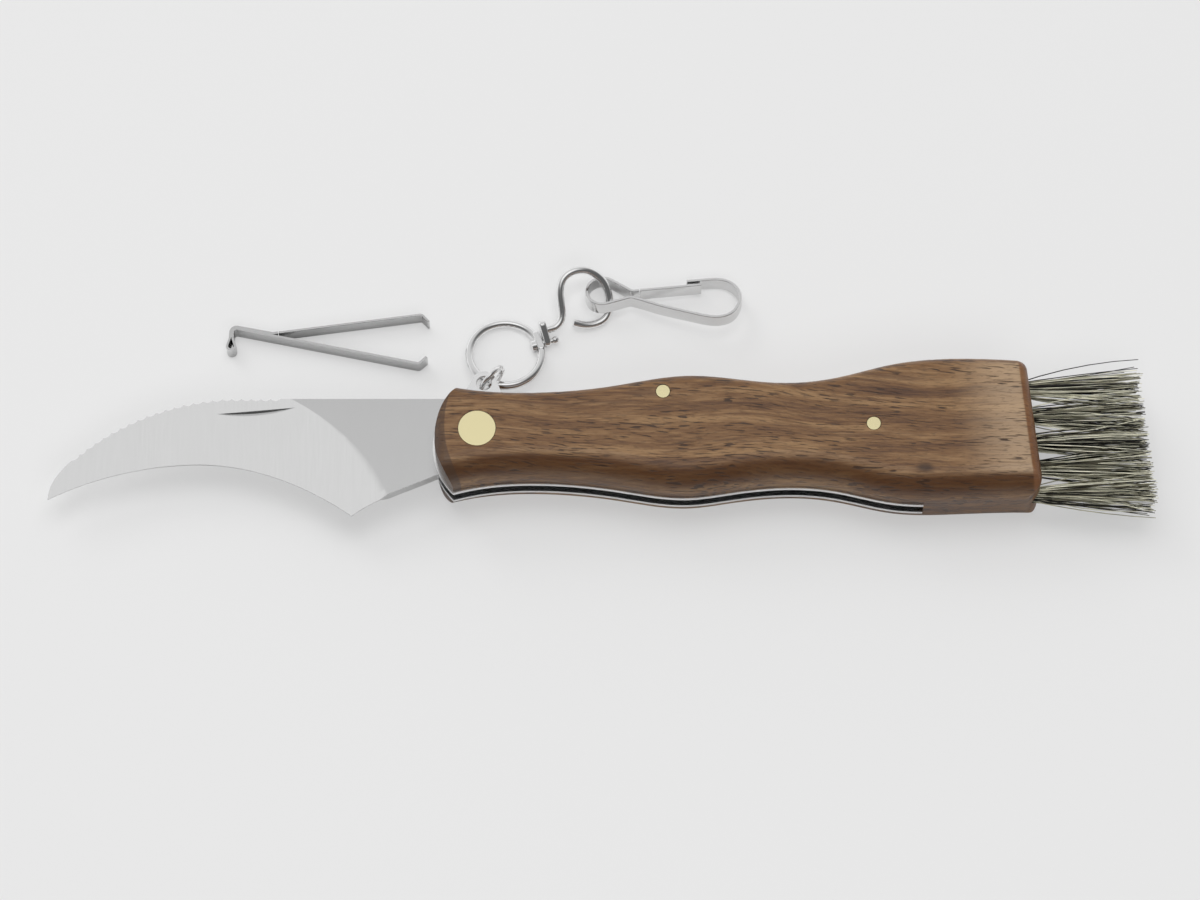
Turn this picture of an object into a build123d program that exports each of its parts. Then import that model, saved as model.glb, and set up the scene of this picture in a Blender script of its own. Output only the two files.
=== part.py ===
from build123d import *
import math
import os

os.makedirs("parts", exist_ok=True)

# Frame: the knife lies open on its side. The blade pivot is the Z axis, the resting
# face is Z = 0, the blade points along -X, the brush along +X and the spine along +Y.

# Handle block of one piece of wood
HANDLE_THICKNESS = 16.0
BUTT_REACH = 102.5
SPINE_CREST = 15.0
BELLY_DROP = 12.5
FRONT_CROWN = 7.85
CROWN_DROP = 0.45
BELLY_ROUND = 5.0
EDGE_ROUND = 2.0
NOSE_ROUND = 2.3
SPINE_CORNER_ROUND = 2.0
BELLY_CORNER_ROUND = 3.2

# Outline of the block: x as a share of BUTT_REACH, y as a share of SPINE_CREST or BELLY_DROP
SPINE_SHARES = (
    (-0.035, 0.572), (0.107, 0.510), (0.244, 0.599), (0.379, 0.734), (0.540, 0.642),
    (0.644, 0.706), (0.743, 0.879), (0.905, 0.959), (0.989, 0.926),
)
BELLY_SHARES = (
    (-0.043, 0.808), (0.112, 0.676), (0.254, 0.784), (0.379, 0.904), (0.455, 0.824),
    (0.550, 0.744), (0.644, 0.800), (0.743, 0.976), (0.852, 1.000), (1.014, 0.976),
)

# Slot, liners and blade, stacked about the middle of the thickness
BLADE_THICKNESS = 2.5
SIDE_PLAY = 0.1
LINER_THICKNESS = 0.8
LINER_PROUD = 0.4
LINER_TOE = 0.2
SLOT_REACH = 82.1
SLOT_PLAY = 0.05
ROOF_PLAY = 0.15

# Pins and their bores
FIT = 0.03
RUNNING_FIT = 0.04
PIVOT_PIN_RADIUS = 1.5
PIVOT_CAP_RADIUS = 3.5
PIVOT_CAP_THICKNESS = 1.2
SMALL_PIN_RADIUS = 1.35
SPRING_PIN_X = 34.2
SPRING_PIN_Y = 7.3
REAR_PIN_X = 72.9
REAR_PIN_Y = 0.95

# Blade
BLADE_REACH = 79.2
BEAK_DROP = 14.3
BLADE_SPINE_RISE = 8.5
TANG_RADIUS = 5.0
SHOULDER_GAP = 0.15
EDGE_THICKNESS = 0.3
GRIND_DEPTH_SPAN = 14.0
GRIND_RAMP_RUN = 1.6
TOOTH_COUNT = 23
TOOTH_PITCH = 1.8
TOOTH_RADIUS = 1.3
TOOTH_DEPTH = 0.4
NICK_RADIUS = 50.0
NICK_WIDTH = 1.1
NICK_DEPTH = 0.5
NICK_SLOPE = 0.5
NICK_TURN = 5.0

# Outline of the blade: x as a share of BLADE_REACH, y as a share of BEAK_DROP
BLADE_TOP_SHARES = (
    (-1.000, -0.776), (-0.990, -0.540), (-0.934, -0.175), (-0.850, 0.155), (-0.731, 0.450),
    (-0.661, 0.545), (-0.591, 0.594),
)
BLADE_EDGE_SHARES = (
    (-1.000, -0.776), (-0.865, -0.473), (-0.731, -0.320), (-0.640, -0.294), (-0.555, -0.345),
    (-0.451, -0.515), (-0.292, -1.000),
)
RICASSO_SHARES = ((-0.292, -1.000), (-0.241, -0.818), (-0.171, -0.640), (-0.095, -0.462))
GRIND_LINE_SHARES = ((-0.465, 0.600), (-0.330, 0.060), (-0.236, -0.690), (-0.215, -1.100))
NICK_SHARES = (-0.523, 0.392)
TOOTH_START_SHARE = 0.245

# Back spring
SPRING_TIP_DEPTH = 4.1
SPRING_SPLIT_RADIUS = 4.2
SPRING_SPLIT_GAP = 0.1
SPRING_REAR_RADIUS = 2.3
SPRING_FLUSH_REACH = 45.0
CAM_GAP = 0.15

# Underside of the sprung arm: x as a share of SPRING_PIN_X, y as a share of SPRING_PIN_Y
SPRING_UNDER_SHARES = (
    (0.263, 0.712), (0.453, 0.767), (0.629, 0.945), (0.731, 1.082), (0.825, 1.068),
    (0.883, 0.740), (1.000, 0.600), (1.170, 0.640),
)

# Lanyard ear on the back liner
EAR_X = 1.0
EAR_Y = 12.75
EAR_HOLE_RADIUS = 1.4
EAR_RIM = 1.0
EAR_FRONT_REACH = 5.8
EAR_REAR_REACH = 4.8
EAR_LEAN = 20.0

# Jump ring
JUMP_RING_RADIUS = 3.0
JUMP_WIRE_RADIUS = 0.5
JUMP_HEADING = 48.0
JUMP_SLIT = 0.15
LINK_GAP = 0.22

# Swivel ring
RING_RADIUS = 6.8
RING_WIRE_RADIUS = 0.8
RING_CONTACT_HEADING = 248.0
RING_DOWNHILL = 81.0
REST_GAP = 0.05
SWIVEL_HEADING = 19.0
PAD_THICKNESS = 1.4
PAD_LENGTH = 4.8
PAD_HEIGHT = 1.8
PAD_OFFSET = 0.6
PAD_ROUND = 0.85
PAD_SOFTENING = 0.45

# Swivel pin, and the collar and wire of the swivel eye
SWIVEL_PIN_RADIUS = 0.6
SWIVEL_HEAD_RADIUS = 1.2
SWIVEL_HEAD_THICKNESS = 0.9
SWIVEL_BALL_RADIUS = 0.8
SWIVEL_END_PLAY = 0.15
COLLAR_THICKNESS = 1.3
COLLAR_LENGTH = 5.2
COLLAR_HEIGHT = 2.2
COLLAR_OFFSET = 1.7
COLLAR_ROUND = 1.0
COLLAR_SOFTENING = 0.4
EYE_WIRE_RADIUS = 0.75
EYE_REACH = 13.5
EYE_RISE = 11.4
EYE_TILT = 31.5

# Middle line of the eye's wire: out from the collar over EYE_REACH, up over EYE_RISE
EYE_ROOT_SHARES = ((-0.040, 0.202), (0.093, 0.202))
EYE_SHARES = (
    (0.219, 0.281), (0.285, 0.491), (0.319, 0.728), (0.411, 0.930), (0.589, 1.013),
    (0.781, 0.961), (0.922, 0.789), (0.978, 0.544), (0.944, 0.307), (0.841, 0.123),
    (0.678, 0.074), (0.522, 0.110), (0.389, 0.193),
)
EYE_SEAT_SHARE = 0.667

# Spring hook, one flat strip on edge, leaning on the eye
HOOK_LENGTH = 29.3
HOOK_BREADTH = 9.9
HOOK_STRIP_WIDTH = 2.5
HOOK_STRIP_THICKNESS = 0.6
HOOK_LEAN = 20.0
HOOK_SEAT_X = 4.41
HOOK_SEAT_Y = 2.99
HOOK_SEAT_RISE = 0.304
HOOK_BEND_RADIUS = 1.0
GATE_GAP = 0.1

# Middle line of the hook's strip: along HOOK_LENGTH from the eye, down over HOOK_BREADTH
HOOK_UPPER_SHARES = ((0.352, -0.321), (0.304, -0.339), (0.185, -0.078))
HOOK_EYE_SHARES = (
    (0.115, 0.004), (0.056, -0.065), (0.021, -0.220), (0.016, -0.400), (0.042, -0.585),
    (0.100, -0.675),
)
HOOK_LOWER_SHARES = ((0.167, -0.636), (0.297, -0.495), (0.358, -0.561))
HOOK_BOW_SHARES = (
    (0.444, -0.668), (0.597, -0.823), (0.730, -0.944), (0.857, -1.004), (0.935, -0.919),
    (0.984, -0.702), (1.000, -0.465), (0.976, -0.242), (0.922, -0.086), (0.853, -0.030),
)
HOOK_LIP_SHARES = ((0.765, -0.050), (0.656, -0.087))
GATE_END_SHARES = (0.751, -0.172)

# Tweezers, one folded strip on edge, lying apart from the knife
STRIP_WIDTH = 3.4
STRIP_THICKNESS = 0.45
TWEEZERS_X = -46.4
TWEEZERS_Y = 25.3
ARM_LENGTH = 35.8
ARM_SPREAD = 19.5
ARM_HEADING = -11.7
DOUBLED_LENGTH = 7.6
ARM_TIP_LENGTH = 2.0
ARM_TIP_TURN = 55.0
ARM_BEND_RADIUS = 0.8
HEAD_DROP = 2.0
HEAD_BEND_RADIUS = 0.7
LOOP_LENGTH = 2.4
LOOP_WIDTH = 1.5
ARM_ROOT = 1.0
ARM_GAP = 0.1

# Brush tufts set in a row of bores in the butt
TUFT_COUNT = 5
TUFT_PITCH = 5.2
TUFT_ROW_Y = 0.3
TUFT_RADIUS = 1.5
TUFT_DEPTH = 8.0
TUFT_PLAY = 0.03
STAPLE_LENGTH = 2.6
STAPLE_WIDTH = 1.4
STAPLE_THICKNESS = 0.4
ROOT_SLICE = 6.3
BRISTLE_LENGTH = 21.5
BRISTLE_SIDE = 0.17
BRISTLE_TIP_SIDE = 0.11
BRISTLE_RINGS = (7, 13, 19, 26)
BRISTLE_FLARE = 0.85
BRISTLE_STAGGER = 1.6
BUTT_SLANT = 2.5

OVERRUN = 1.0

MIDDLE = HANDLE_THICKNESS / 2
SPRING_TIP_Y = TANG_RADIUS + CAM_GAP
SLOT_WIDTH = BLADE_THICKNESS + 2 * (SIDE_PLAY + LINER_THICKNESS + SLOT_PLAY)
LINER_FACE = BLADE_THICKNESS / 2 + SIDE_PLAY
BACK_LINER_Z = MIDDLE - LINER_FACE - LINER_THICKNESS / 2


def scaled(shares, length, height):
    """Turn a table of shares into points."""
    return [(x * length, y * height) for x, y in shares]


def slab(face, low, high):
    """A flat plate with this outline, from one height to another."""
    return Pos(0, 0, low) * extrude(face, amount=high - low)


def upright(radius, x, y, low, high):
    """A round bar along Z between two heights."""
    return Pos(x, y, (low + high) / 2) * Cylinder(radius, high - low)


def block_face(proud=0, toe=0):
    """Side view of the handle. A liner stands proud of it along the belly."""
    spine = scaled(SPINE_SHARES, BUTT_REACH, SPINE_CREST)
    belly = [(x, -y - proud) for x, y in scaled(BELLY_SHARES, BUTT_REACH, BELLY_DROP)]
    belly[0] = (belly[0][0], belly[0][1] - toe)
    edges = [
        Spline(*spine),
        Line(spine[-1], belly[-1]),
        Spline(*belly[::-1]),
        ThreePointArc(belly[0], (-FRONT_CROWN - proud, -CROWN_DROP), spine[0]),
    ]
    return make_face(Curve() + edges)


def spring_face():
    """Side view of the whole back spring, flush with the spine as far as it shows."""
    spine = scaled(SPINE_SHARES, BUTT_REACH, SPINE_CREST)
    under = scaled(SPRING_UNDER_SHARES, SPRING_PIN_X, SPRING_PIN_Y)
    front = (-TANG_RADIUS, SPRING_TIP_Y)
    rear_top = (REAR_PIN_X, REAR_PIN_Y + SPRING_REAR_RADIUS)
    rear_low = (REAR_PIN_X, REAR_PIN_Y - SPRING_REAR_RADIUS)
    flush = (SPRING_FLUSH_REACH, SPINE_CREST)
    edges = [
        Line(front, (-TANG_RADIUS, SPINE_CREST)),
        Line((-TANG_RADIUS, SPINE_CREST), flush),
        Line(flush, (SPRING_FLUSH_REACH, spring_shoulder())),
        Line((SPRING_FLUSH_REACH, spring_shoulder()), rear_top),
        ThreePointArc(rear_top, (REAR_PIN_X + SPRING_REAR_RADIUS, REAR_PIN_Y), rear_low),
        Line(rear_low, under[-1]),
        Spline(*under[::-1]),
        Line(under[0], front),
    ]
    below_spine = Curve() + [
        Spline(*spine),
        Line(spine[-1], (BUTT_REACH, -BELLY_DROP)),
        Line((BUTT_REACH, -BELLY_DROP), (-FRONT_CROWN, -BELLY_DROP)),
        Line((-FRONT_CROWN, -BELLY_DROP), (-FRONT_CROWN, spine[0][1])),
        Line((-FRONT_CROWN, spine[0][1]), spine[0]),
    ]
    return make_face(Curve() + edges) & make_face(below_spine)


def spring_shoulder():
    """Height at which the spring's top leaves the spine and dips under the wood."""
    x, y = scaled(SPINE_SHARES, BUTT_REACH, SPINE_CREST)[3]
    return y - (SPRING_FLUSH_REACH - x) * (y - REAR_PIN_Y) / (REAR_PIN_X - x)


def slot_face(play=0):
    """Side view of the slot: open at the front, the belly and the front half of the spine."""
    far = 2 * FRONT_CROWN
    shoulder = spring_shoulder() + ROOF_PLAY - play
    points = [
        (-far, -2 * BELLY_DROP),
        (SLOT_REACH - play, -2 * BELLY_DROP),
        (SLOT_REACH - play, REAR_PIN_Y + SPRING_REAR_RADIUS - play),
        (REAR_PIN_X, REAR_PIN_Y + SPRING_REAR_RADIUS + ROOF_PLAY - play),
        (SPRING_FLUSH_REACH + ROOF_PLAY - play, shoulder),
        (SPRING_FLUSH_REACH + ROOF_PLAY - play, 2 * SPINE_CREST),
        (-far, 2 * SPINE_CREST),
    ]
    return make_face(Polyline(*points, close=True))


def tuft_places():
    """Middle of each tuft's bore in the butt, as the butt's x and the y."""
    rise = scaled(SPINE_SHARES, BUTT_REACH, SPINE_CREST)[-1]
    fall = scaled(BELLY_SHARES, BUTT_REACH, BELLY_DROP)[-1]
    places = []
    for n in range(TUFT_COUNT):
        y = TUFT_ROW_Y + ((TUFT_COUNT - 1) / 2 - n) * TUFT_PITCH
        share = (rise[1] - y) / (rise[1] + fall[1])
        places.append((rise[0] + share * (fall[0] - rise[0]), y))
    return places


def butt_corners(block):
    """The block's upright corners at the butt, from belly to spine."""
    upright_edges = block.edges().filter_by(Axis.Z)
    return upright_edges.filter_by_position(Axis.X, SLOT_REACH, 2 * BUTT_REACH).sort_by(Axis.Y)


def flat_edges(block):
    """The block's edges that lie in its top or bottom face."""
    return [e for e in block.edges() if e.bounding_box().size.Z < SLOT_PLAY]


def belly_bar():
    """A bar that overruns the handle on all sides but the belly, where its edges are rounder."""
    belly = Spline(*[(x, -y) for x, y in scaled(BELLY_SHARES, BUTT_REACH, BELLY_DROP)])
    front = belly @ 0 - belly % 0 * FRONT_CROWN
    rear = belly @ 1 + belly % 1 * FRONT_CROWN
    crest = 2 * SPINE_CREST
    sides = Polyline(belly @ 1, rear, (rear.X, crest), (front.X, crest), front, belly @ 0)
    bar = extrude(make_face(Curve() + [belly, *sides.edges()]), amount=HANDLE_THICKNESS)
    return fillet([e for e in flat_edges(bar) if e.center().Y < 0], BELLY_ROUND)


def nose_bar():
    """A bar with rounded front edges, which breaks the crown of the handle's front end."""
    length = FRONT_CROWN + BUTT_REACH + FRONT_CROWN
    bar = Box(length, 4 * SPINE_CREST, HANDLE_THICKNESS, align=(Align.MIN, Align.CENTER, Align.MIN))
    front = bar.edges().filter_by(Axis.Y).group_by(Axis.X)[0]
    return Pos(-FRONT_CROWN, 0, 0) * fillet(front, NOSE_ROUND)


def handle_body():
    """The wooden block: rounded edges, blade slot, pin bores, cap seats and tuft bores."""
    block = extrude(block_face(), amount=HANDLE_THICKNESS)
    block = fillet(butt_corners(block)[0], BELLY_CORNER_ROUND)
    block = fillet(butt_corners(block)[-1], SPINE_CORNER_ROUND)
    block = fillet([e for e in flat_edges(block) if e.length > SLOT_REACH], EDGE_ROUND)
    block = block & belly_bar() & nose_bar()
    block -= slab(slot_face(), MIDDLE - SLOT_WIDTH / 2, MIDDLE + SLOT_WIDTH / 2)
    block -= upright(PIVOT_PIN_RADIUS + FIT, 0, 0, -OVERRUN, HANDLE_THICKNESS + OVERRUN)
    for x, y in ((SPRING_PIN_X, SPRING_PIN_Y), (REAR_PIN_X, REAR_PIN_Y)):
        block -= upright(SMALL_PIN_RADIUS + FIT, x, y, -OVERRUN, HANDLE_THICKNESS + OVERRUN)
    seat = PIVOT_CAP_RADIUS + FIT
    block -= upright(seat, 0, 0, -OVERRUN, PIVOT_CAP_THICKNESS)
    block -= upright(seat, 0, 0, HANDLE_THICKNESS - PIVOT_CAP_THICKNESS, HANDLE_THICKNESS + OVERRUN)
    for x, y in tuft_places():
        bore = Cylinder(TUFT_RADIUS + TUFT_PLAY, TUFT_DEPTH + 2 * BUTT_SLANT)
        block -= Pos(x + BUTT_SLANT - TUFT_DEPTH / 2, y, MIDDLE) * Rot(Y=90) * bore
    return block


def ear_face():
    """The lanyard ear that stands up from the back liner's spine edge."""
    rim = EAR_HOLE_RADIUS + EAR_RIM
    foot = scaled(SPINE_SHARES, BUTT_REACH, SPINE_CREST)[1][1] - LINER_THICKNESS
    face = Pos(EAR_X, EAR_Y) * Circle(rim)
    lean = math.radians(EAR_LEAN)
    half = rim * math.sqrt(0.5)
    points = [
        (EAR_X - EAR_FRONT_REACH, foot),
        (EAR_X - half, EAR_Y + half),
        (EAR_X + rim * math.cos(lean), EAR_Y + rim * math.sin(lean)),
        (EAR_X + EAR_REAR_REACH, foot),
    ]
    return face + make_face(Polyline(*points, close=True))


def liner(middle_z, ear=False):
    """A thin steel liner on one side of the slot, with its three pin holes."""
    face = block_face(LINER_PROUD, LINER_TOE) & slot_face(SLOT_PLAY)
    if ear:
        face += ear_face()
        face -= Pos(EAR_X, EAR_Y) * Circle(EAR_HOLE_RADIUS)
    face -= Circle(PIVOT_PIN_RADIUS + FIT)
    for x, y in ((SPRING_PIN_X, SPRING_PIN_Y), (REAR_PIN_X, REAR_PIN_Y)):
        face -= Pos(x, y) * Circle(SMALL_PIN_RADIUS + FIT)
    return slab(face, middle_z - LINER_THICKNESS / 2, middle_z + LINER_THICKNESS / 2)


def arm_zone(radius):
    """All that lies ahead of a circle about the spring pin, and the circle itself."""
    zone = Rectangle(BUTT_REACH, 4 * SPINE_CREST, align=(Align.MAX, Align.CENTER))
    return Pos(SPRING_PIN_X, SPRING_PIN_Y) * (zone + Circle(radius))


def back_spring_arm():
    """The sprung front of the back spring, which rocks on the spring pin."""
    face = spring_face() & arm_zone(SPRING_SPLIT_RADIUS)
    face -= Pos(SPRING_PIN_X, SPRING_PIN_Y) * Circle(SMALL_PIN_RADIUS + RUNNING_FIT)
    return slab(face, MIDDLE - BLADE_THICKNESS / 2, MIDDLE + BLADE_THICKNESS / 2)


def back_spring_root():
    """The rest of the back spring, held by the rear pin under the wood."""
    face = spring_face() - arm_zone(SPRING_SPLIT_RADIUS + SPRING_SPLIT_GAP)
    face -= Pos(REAR_PIN_X, REAR_PIN_Y) * Circle(SMALL_PIN_RADIUS + FIT)
    return slab(face, MIDDLE - BLADE_THICKNESS / 2, MIDDLE + BLADE_THICKNESS / 2)


def pivot_pin():
    """The blade's pivot pin, riveted under the two caps."""
    return upright(PIVOT_PIN_RADIUS, 0, 0, PIVOT_CAP_THICKNESS, HANDLE_THICKNESS - PIVOT_CAP_THICKNESS)


def pivot_cap(low):
    """A brass disc let in flush over one end of the pivot pin."""
    return upright(PIVOT_CAP_RADIUS, 0, 0, low, low + PIVOT_CAP_THICKNESS)


def small_pin(x, y):
    """A brass pin through the whole handle, ground flush on both sides."""
    return upright(SMALL_PIN_RADIUS, x, y, 0, HANDLE_THICKNESS)


def blade_face():
    """Side view of the blade, the scalloped back and the round tang."""
    top = scaled(BLADE_TOP_SHARES, BLADE_REACH, BEAK_DROP)
    edge = scaled(BLADE_EDGE_SHARES, BLADE_REACH, BEAK_DROP)
    ricasso = scaled(RICASSO_SHARES, BLADE_REACH, BEAK_DROP)
    shoulder = -TANG_RADIUS - SHOULDER_GAP
    back = Spline(*top)
    edges = [
        back,
        Line(top[-1], (shoulder, BLADE_SPINE_RISE)),
        Line((shoulder, BLADE_SPINE_RISE), (shoulder, 0)),
        Line((shoulder, 0), (0, 0)),
        Line((0, 0), (0, -TANG_RADIUS)),
        Line((0, -TANG_RADIUS), ricasso[-1]),
        Spline(*ricasso[::-1]),
        Spline(*edge[::-1]),
    ]
    face = make_face(Curve() + edges) + Circle(TANG_RADIUS)
    face -= Circle(PIVOT_PIN_RADIUS + RUNNING_FIT)
    start = TOOTH_START_SHARE * back.length
    for n in range(TOOTH_COUNT):
        along = start + n * TOOTH_PITCH
        if along > back.length:
            middle = top[-1][0] + along - back.length, BLADE_SPINE_RISE
            outward = Vector(0, 1)
        else:
            middle = back.position_at(along / back.length)
            middle, outward = (middle.X, middle.Y), back.tangent_at(along / back.length).rotate(Axis.Z, 90)
        place = Vector(*middle) + outward * (TOOTH_RADIUS - TOOTH_DEPTH)
        face -= Pos(place.X, place.Y) * Circle(TOOTH_RADIUS)
    return face


def grind_wedge():
    """What the grinding takes off one face ahead of the grind line."""
    line = scaled(GRIND_LINE_SHARES, BLADE_REACH, BEAK_DROP)
    far = BLADE_REACH + 2 * OVERRUN
    ahead = make_face(Curve() + [
        Spline(*line),
        Line(line[-1], (line[-1][0], -2 * BEAK_DROP)),
        Line((line[-1][0], -2 * BEAK_DROP), (-far, -2 * BEAK_DROP)),
        Line((-far, -2 * BEAK_DROP), (-far, line[0][1])),
        Line((-far, line[0][1]), line[0]),
    ])
    spine = BLADE_SPINE_RISE
    thin = EDGE_THICKNESS / 2
    profile = Plane.YZ * make_face(Polyline(
        (spine, BLADE_THICKNESS / 2), (spine - GRIND_DEPTH_SPAN, thin), (-2 * BEAK_DROP, thin),
        (-2 * BEAK_DROP, BLADE_THICKNESS), (spine, BLADE_THICKNESS), close=True,
    ))
    ramped = extrude(ahead, amount=2 * BLADE_THICKNESS, dir=(GRIND_RAMP_RUN, 0, 1))
    return extrude(profile, amount=-far) & ramped


def nail_nick():
    """Crescent for the thumbnail, left by a tapered disc sunk in the blade's face."""
    x, y = scaled([NICK_SHARES], BLADE_REACH, BEAK_DROP)[0]
    disc = Cone(NICK_RADIUS - NICK_SLOPE, NICK_RADIUS, NICK_WIDTH)
    high = BLADE_THICKNESS / 2 - grind_fall(y) + NICK_RADIUS - NICK_DEPTH
    return Pos(x, y, high) * Rot(Z=NICK_TURN) * Rot(X=-90) * disc


def grind_fall(y):
    """How far the ground face lies under the flat one at this height of the blade."""
    return (BLADE_SPINE_RISE - y) * (BLADE_THICKNESS - EDGE_THICKNESS) / 2 / GRIND_DEPTH_SPAN


def blade():
    """The blade, open: spine at +Y, edge and beak at -Y, ground on both faces."""
    body = slab(blade_face(), -BLADE_THICKNESS / 2, BLADE_THICKNESS / 2)
    wedge = grind_wedge()
    body -= wedge
    body -= mirror(wedge, about=Plane.XY)
    body -= nail_nick()
    return Pos(0, 0, MIDDLE) * body


def jump_ring_place():
    """Middle of the jump ring, hung on the rim of the ear's hole."""
    rim = EAR_HOLE_RADIUS + EAR_RIM / 2
    inner = JUMP_RING_RADIUS - JUMP_WIRE_RADIUS - LINK_GAP
    sag = math.sqrt(inner ** 2 - (EAR_RIM / 2) ** 2) - LINER_THICKNESS / 2
    turn = math.radians(JUMP_HEADING)
    return Vector(EAR_X + rim * math.cos(turn), EAR_Y + rim * math.sin(turn), BACK_LINER_Z - sag)


def jump_ring():
    """Small wire ring through the ear, standing on edge, with its sawn slit."""
    ring = Torus(JUMP_RING_RADIUS, JUMP_WIRE_RADIUS)
    slit = Pos(JUMP_RING_RADIUS, 0, 0) * Box(4 * JUMP_WIRE_RADIUS, JUMP_SLIT, 4 * JUMP_WIRE_RADIUS)
    place = jump_ring_place()
    return Pos(place.X, place.Y, place.Z) * Rot(Z=JUMP_HEADING) * Rot(X=90) * (ring - slit)


def ring_plane():
    """The swivel ring's own plane, x along the swivel pin: one side held up by the jump ring."""
    contact = jump_ring_place()
    high = contact.Z - JUMP_RING_RADIUS + JUMP_WIRE_RADIUS + LINK_GAP + RING_WIRE_RADIUS
    toward = math.radians(RING_CONTACT_HEADING - RING_DOWNHILL)
    low = RING_WIRE_RADIUS + REST_GAP
    slope = (high - low) / (RING_RADIUS * (1 - math.cos(toward)))
    tilt = math.atan(slope)
    down = math.radians(RING_DOWNHILL)
    near = math.radians(RING_CONTACT_HEADING)
    origin = (
        contact.X - RING_RADIUS * math.cos(near),
        contact.Y - RING_RADIUS * math.sin(near),
        low + RING_RADIUS * slope,
    )
    pin = math.radians(SWIVEL_HEADING)
    x_dir = (math.cos(pin), math.sin(pin), -slope * math.cos(pin - down))
    normal = (math.sin(tilt) * math.cos(down), math.sin(tilt) * math.sin(down), math.cos(tilt))
    return Plane(origin=origin, x_dir=x_dir, z_dir=normal)


def pad_start():
    """Distance from the ring's middle to the inner face of its pad."""
    return RING_RADIUS - PAD_THICKNESS / 2


def collar_start():
    """Distance from the ring's middle to the inner face of the eye's collar."""
    return RING_RADIUS + PAD_THICKNESS / 2 + SWIVEL_END_PLAY


def along_x(radius, low, high):
    """A round bar along X between two distances from the ring's middle."""
    return Pos((low + high) / 2, 0, 0) * Rot(Y=90) * Cylinder(radius, high - low)


def rounded_pad(thickness, length, height, start, offset, round_radius, softening):
    """A flat pad square to X, rounded at its four corners and softened round both faces."""
    pad = Pos(start + thickness / 2, offset, 0) * Box(thickness, length, height)
    pad = fillet(pad.edges().filter_by(Axis.X), round_radius)
    faces = pad.faces().sort_by(Axis.X)
    return fillet(faces[0].edges() + faces[-1].edges(), softening)


def swivel_ring():
    """The big ring, with the flattened pad that the swivel pin goes through."""
    ring = Torus(RING_RADIUS, RING_WIRE_RADIUS)
    ring += rounded_pad(
        PAD_THICKNESS, PAD_LENGTH, PAD_HEIGHT, pad_start(), PAD_OFFSET, PAD_ROUND, PAD_SOFTENING
    )
    ring -= along_x(SWIVEL_HEAD_RADIUS + FIT, 0, pad_start())
    ring -= along_x(SWIVEL_PIN_RADIUS + FIT, 0, 2 * RING_RADIUS)
    return ring_plane() * ring


def swivel_pin():
    """Headed pin through the ring's pad and the eye's collar, peened to a ball outside."""
    head = along_x(SWIVEL_HEAD_RADIUS, pad_start() - SWIVEL_HEAD_THICKNESS, pad_start())
    ball = collar_start() + COLLAR_THICKNESS + SWIVEL_END_PLAY + SWIVEL_BALL_RADIUS
    shaft = along_x(SWIVEL_PIN_RADIUS, pad_start() - SWIVEL_HEAD_THICKNESS / 2, ball)
    return ring_plane() * (head + shaft + Pos(ball, 0, 0) * Sphere(SWIVEL_BALL_RADIUS))


def eye_location():
    """The eye's own frame: the ring's, turned about the swivel pin."""
    return Location(ring_plane()) * Location((0, 0, 0), (EYE_TILT, 0, 0))


def bridge(before, points, after):
    """A smooth curve through the points, heading on from one neighbour and to the other."""
    start = Vector(*points[0]) - Vector(*before)
    end = Vector(*after) - Vector(*points[-1])
    return Spline(
        *points, tangents=[start.normalized(), end.normalized()], tangent_scalars=(1, 1)
    )


def eye_path():
    """Middle line of the eye's wire in the eye's own frame."""
    start = collar_start() + COLLAR_THICKNESS
    shares = EYE_ROOT_SHARES + EYE_SHARES
    points = [(start + x, y) for x, y in scaled(shares, EYE_REACH, EYE_RISE)]
    beyond = Vector(*points[-1]) * 2 - Vector(*points[-2])
    return Wire([Line(*points[:2]), bridge(points[0], points[1:], beyond)])


def swivel_eye():
    """Bent wire eye that the hook hangs in, on a collar that turns on the swivel pin."""
    path = eye_path()
    section = Plane(origin=path @ 0, z_dir=path % 0) * Circle(EYE_WIRE_RADIUS)
    wire = sweep(section, path=path)
    collar = rounded_pad(
        COLLAR_THICKNESS, COLLAR_LENGTH, COLLAR_HEIGHT, collar_start(), COLLAR_OFFSET, COLLAR_ROUND,
        COLLAR_SOFTENING,
    )
    body = wire + collar
    body -= along_x(SWIVEL_PIN_RADIUS + RUNNING_FIT, 0, collar_start() + COLLAR_THICKNESS + OVERRUN)
    return eye_location() * body


def hook_location():
    """The hook's own frame: its eye round the wire, leaning over about X."""
    seat = Location(eye_path() @ EYE_SEAT_SHARE)
    spot = (eye_location() * seat).position
    lean = Location((0, 0, 0), (-HOOK_LEAN, 0, 0))
    shift = Location((-HOOK_SEAT_X, HOOK_SEAT_Y, -HOOK_SEAT_RISE))
    return Location(spot) * lean * shift


def strip(path, width, thickness):
    """A flat strip on edge that follows a path in the XY plane."""
    section = Plane(origin=path @ 0, x_dir=(0, 0, 1), z_dir=path % 0) * Rectangle(width, thickness)
    return sweep(section, path=path)


def hook_tables():
    """The tables of the hook's middle line as points, from the gate's root round to the lip."""
    tables = (
        HOOK_UPPER_SHARES, HOOK_EYE_SHARES, HOOK_LOWER_SHARES, HOOK_BOW_SHARES, HOOK_LIP_SHARES,
    )
    return [scaled(shares, HOOK_LENGTH, HOOK_BREADTH) for shares in tables]


def hook_path():
    """Middle line of the hook's strip: straight at the waist, round at both ends."""
    upper, eye, lower, bow, lip = hook_tables()
    edges = FilletPolyline(*upper, radius=HOOK_BEND_RADIUS).edges()
    edges += [bridge(upper[1], [upper[2], *eye, lower[0]], lower[1])]
    edges += FilletPolyline(*lower, radius=HOOK_BEND_RADIUS).edges()
    edges += [bridge(lower[1], [lower[2], *bow, lip[0]], lip[1]), Line(*lip)]
    return Wire(edges)


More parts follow.
